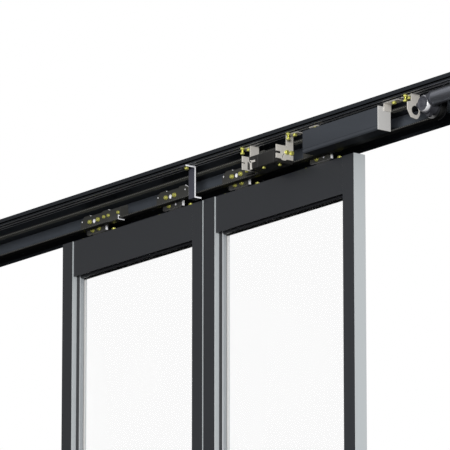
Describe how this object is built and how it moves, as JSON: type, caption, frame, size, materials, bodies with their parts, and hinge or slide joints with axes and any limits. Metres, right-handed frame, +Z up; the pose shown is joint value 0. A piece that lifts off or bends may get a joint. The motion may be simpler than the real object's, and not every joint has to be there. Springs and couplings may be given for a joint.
{
  "type": "sliding door operator",
  "caption": "Wall header with a toothed belt drive, motor, lock and control unit that slides two glazed leaves apart on roller carriages.",
  "frame": {"origin": "middle of the header's wall face, above the line where the leaves meet", "axes": "+X along the header towards the motor, +Y into the wall, +Z up"},
  "size_m": [3.3, 0.2, 2.237],
  "materials": {
    "header": "black anodised extrusion",
    "leaf_frame": "anthracite powder coat",
    "bead_frame": "anthracite powder coat",
    "belt": "moulded polyurethane",
    "zinc": "bright zinc plate",
    "yellow_zinc": "yellow passivated zinc",
    "dark_steel": "dark grey cathodic dip",
    "cast": "grey die casting",
    "motor": "satin grey lacquer",
    "black_plastic": "moulded",
    "control": "dark grey satin",
    "light_sheet": "light grey sheet",
    "pulley": "turned",
    "shaft": "ground",
    "centre_strap": "blue grey dip",
    "wheel": "moulded nylon",
    "rubber": "moulded",
    "seal": "extruded",
    "glass": "clear float glass"
  },
  "bodies": {
    "header": {"header_rail": "header", "toothed_belt": "belt", "drive_motor": "motor", "motor_end_cap": "black_plastic", "gearbox": "cast", "gearbox_cover": "cast", "motor_bracket": "zinc", "idler_bracket": "zinc", "lock_housing": "black_plastic", "lock_bracket_left": "zinc", "lock_bracket_right": "zinc", "lock_screws": "yellow_zinc", "control_housing": "control", "control_end_plates": "light_sheet", "control_hangers": "zinc", "centre_bracket": "centre_strap", "slot_bolts": "yellow_zinc", "end_stops": "dark_steel", "stop_buffers": "rubber"},
    "left_leaf": {"left_hanger_outer": "dark_steel", "left_hanger_inner": "dark_steel", "left_roller_carriers": "dark_steel", "left_feet": "dark_steel", "left_carriage_bolts": "yellow_zinc", "left_belt_bracket": "dark_steel", "left_stiles": "leaf_frame", "left_rails": "leaf_frame", "left_glazing_beads": "bead_frame", "left_glass": "glass", "left_meeting_seal": "seal", "left_belt_channel": "zinc"},
    "right_leaf": {"right_hanger_outer": "dark_steel", "right_hanger_inner": "dark_steel", "right_roller_carriers": "dark_steel", "right_feet": "dark_steel", "right_carriage_bolts": "yellow_zinc", "right_belt_bracket": "dark_steel", "right_stiles": "leaf_frame", "right_rails": "leaf_frame", "right_glazing_beads": "bead_frame", "right_glass": "glass", "right_meeting_seal": "seal", "right_belt_cap": "dark_steel"},
    "left_wheel_1": {"left_wheel_1": "wheel"},
    "left_wheel_2": {"left_wheel_2": "wheel"},
    "left_wheel_3": {"left_wheel_3": "wheel"},
    "left_wheel_4": {"left_wheel_4": "wheel"},
    "left_guard_roller_1": {"left_guard_roller_1": "wheel"},
    "left_guard_roller_2": {"left_guard_roller_2": "wheel"},
    "right_wheel_1": {"right_wheel_1": "wheel"},
    "right_wheel_2": {"right_wheel_2": "wheel"},
    "right_wheel_3": {"right_wheel_3": "wheel"},
    "right_wheel_4": {"right_wheel_4": "wheel"},
    "right_guard_roller_1": {"right_guard_roller_1": "wheel"},
    "right_guard_roller_2": {"right_guard_roller_2": "wheel"},
    "drive_wheel": {"drive_pulley": "pulley", "output_shaft": "shaft"},
    "idler_wheel": {"idler_pulley": "pulley"},
    "lock_plunger": {"lock_bolt": "shaft"},
    "lock_lever": {"release_lever": "light_sheet"}
  },
  "joints": [
    {"name": "left_leaf_slide", "type": "slide", "parent": "header", "child": "left_leaf", "axis": [-1, 0, 0], "range_m": [0, 0.76], "deforming": ["toothed_belt"]},
    {"name": "right_leaf_slide", "type": "slide", "parent": "header", "child": "right_leaf", "axis": [1, 0, 0], "range_m": [0, 0.76]},
    {"name": "left_wheel_1_spin", "type": "hinge", "parent": "left_leaf", "child": "left_wheel_1", "pos_m": [-0.6925, -0.071, -0.0172], "axis": [0, 1, 0], "range_deg": [-2640.1, 0]},
    {"name": "left_wheel_2_spin", "type": "hinge", "parent": "left_leaf", "child": "left_wheel_2", "pos_m": [-0.5845, -0.071, -0.0172], "axis": [0, 1, 0], "range_deg": [-2640.1, 0]},
    {"name": "left_wheel_3_spin", "type": "hinge", "parent": "left_leaf", "child": "left_wheel_3", "pos_m": [-0.2575, -0.071, -0.0172], "axis": [0, 1, 0], "range_deg": [-2640.1, 0]},
    {"name": "left_wheel_4_spin", "type": "hinge", "parent": "left_leaf", "child": "left_wheel_4", "pos_m": [-0.1495, -0.071, -0.0172], "axis": [0, 1, 0], "range_deg": [-2640.1, 0]},
    {"name": "left_guard_roller_1_spin", "type": "hinge", "parent": "left_leaf", "child": "left_guard_roller_1", "pos_m": [-0.6565, -0.0685, -0.06], "axis": [0, 1, 0], "range_deg": [0, 2562.5]},
    {"name": "left_guard_roller_2_spin", "type": "hinge", "parent": "left_leaf", "child": "left_guard_roller_2", "pos_m": [-0.2215, -0.0685, -0.06], "axis": [0, 1, 0], "range_deg": [0, 2562.5]},
    {"name": "right_wheel_1_spin", "type": "hinge", "parent": "right_leaf", "child": "right_wheel_1", "pos_m": [0.1075, -0.071, -0.0172], "axis": [0, 1, 0], "range_deg": [0, 2640.1]},
    {"name": "right_wheel_2_spin", "type": "hinge", "parent": "right_leaf", "child": "right_wheel_2", "pos_m": [0.2155, -0.071, -0.0172], "axis": [0, 1, 0], "range_deg": [0, 2640.1]},
    {"name": "right_wheel_3_spin", "type": "hinge", "parent": "right_leaf", "child": "right_wheel_3", "pos_m": [0.5425, -0.071, -0.0172], "axis": [0, 1, 0], "range_deg": [0, 2640.1]},
    {"name": "right_wheel_4_spin", "type": "hinge", "parent": "right_leaf", "child": "right_wheel_4", "pos_m": [0.6505, -0.071, -0.0172], "axis": [0, 1, 0], "range_deg": [0, 2640.1]},
    {"name": "right_guard_roller_1_spin", "type": "hinge", "parent": "right_leaf", "child": "right_guard_roller_1", "pos_m": [0.1435, -0.0685, -0.06], "axis": [0, 1, 0], "range_deg": [-2562.5, 0]},
    {"name": "right_guard_roller_2_spin", "type": "hinge", "parent": "right_leaf", "child": "right_guard_roller_2", "pos_m": [0.5785, -0.0685, -0.06], "axis": [0, 1, 0], "range_deg": [-2562.5, 0]},
    {"name": "drive_pulley_spin", "type": "hinge", "parent": "header", "child": "drive_wheel", "pos_m": [1.217, -0.11, -0.025], "axis": [0, 1, 0], "range_deg": [0, 1244.6]},
    {"name": "idler_pulley_spin", "type": "hinge", "parent": "header", "child": "idler_wheel", "pos_m": [-1.473, -0.11, -0.025], "axis": [0, 1, 0], "range_deg": [0, 1244.6]},
    {"name": "lock_bolt_slide", "type": "slide", "parent": "header", "child": "lock_plunger", "axis": [0, 1, 0], "range_m": [0, 0.022], "stiffness_N_per_m": 120, "springref_m": -0.003},
    {"name": "release_lever_turn", "type": "hinge", "parent": "header", "child": "lock_lever", "pos_m": [0.3605, -0.195, -0.0415], "axis": [0, -1, 0], "range_deg": [0, 25], "stiffness_Nm_per_rad": 0.02, "springref_deg": -11.46}
  ],
  "couplings": [
    {"joint": "right_leaf_slide", "follows": "left_leaf_slide", "ratio": 1},
    {"joint": "left_wheel_1_spin", "follows": "left_leaf_slide", "rad_per_m": -60.606},
    {"joint": "left_wheel_2_spin", "follows": "left_leaf_slide", "rad_per_m": -60.606},
    {"joint": "left_wheel_3_spin", "follows": "left_leaf_slide", "rad_per_m": -60.606},
    {"joint": "left_wheel_4_spin", "follows": "left_leaf_slide", "rad_per_m": -60.606},
    {"joint": "left_guard_roller_1_spin", "follows": "left_leaf_slide", "rad_per_m": 58.824},
    {"joint": "left_guard_roller_2_spin", "follows": "left_leaf_slide", "rad_per_m": 58.824},
    {"joint": "right_wheel_1_spin", "follows": "left_leaf_slide", "rad_per_m": 60.606},
    {"joint": "right_wheel_2_spin", "follows": "left_leaf_slide", "rad_per_m": 60.606},
    {"joint": "right_wheel_3_spin", "follows": "left_leaf_slide", "rad_per_m": 60.606},
    {"joint": "right_wheel_4_spin", "follows": "left_leaf_slide", "rad_per_m": 60.606},
    {"joint": "right_guard_roller_1_spin", "follows": "left_leaf_slide", "rad_per_m": -58.824},
    {"joint": "right_guard_roller_2_spin", "follows": "left_leaf_slide", "rad_per_m": -58.824},
    {"joint": "drive_pulley_spin", "follows": "left_leaf_slide", "rad_per_m": 28.56},
    {"joint": "idler_pulley_spin", "follows": "left_leaf_slide", "rad_per_m": 28.56}
  ]
}
